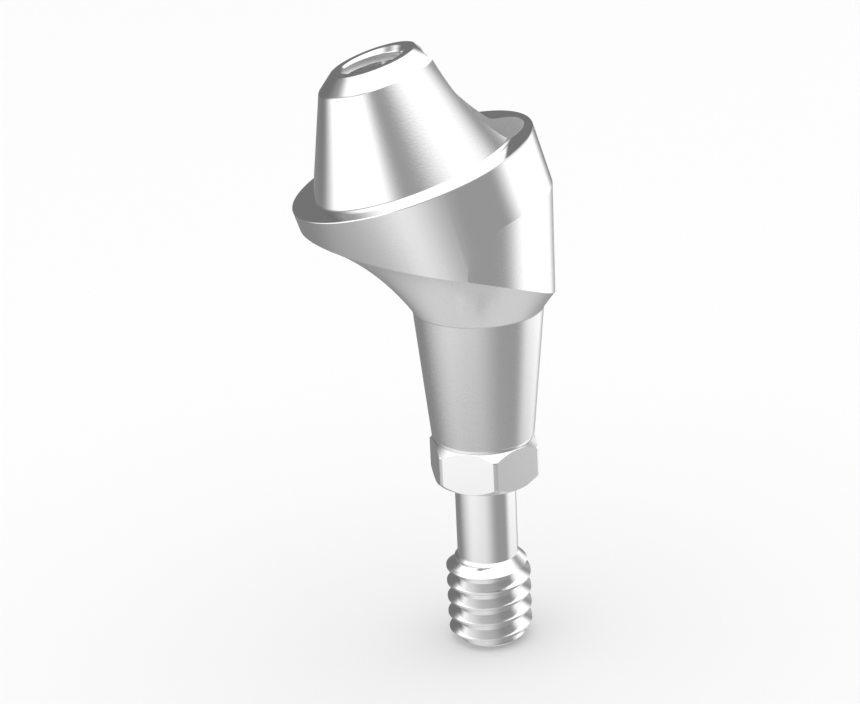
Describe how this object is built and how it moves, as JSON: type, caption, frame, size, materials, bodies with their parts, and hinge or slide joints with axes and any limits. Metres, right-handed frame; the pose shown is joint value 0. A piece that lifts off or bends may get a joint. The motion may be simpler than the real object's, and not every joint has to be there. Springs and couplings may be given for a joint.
{
  "type": "dental abutment",
  "caption": "Angled dental abutment: a tilted cone on a flared collar, over a taper and hexagon that enter the implant, with a long clamping screw seated in its channel.",
  "frame": {"origin": "centre of the end face of the hexagon, on the implant axis", "axes": "+Z along the implant axis, out of the jaw; the cone leans 17 degrees towards -X; Y is across the plane of the tilt"},
  "size_m": [0.005, 0.0048, 0.0124],
  "materials": {
    "abutment_titanium": "polished titanium alloy",
    "screw_titanium": "fine turned titanium alloy"
  },
  "bodies": {
    "abutment": {"abutment_body": "abutment_titanium"},
    "screw": {"abutment_screw": "screw_titanium"}
  },
  "joints": [
    {"name": "screw_lift", "type": "slide", "parent": "abutment", "child": "screw", "axis": [0, 0, 1], "range_m": [0, 0.0125]}
  ]
}
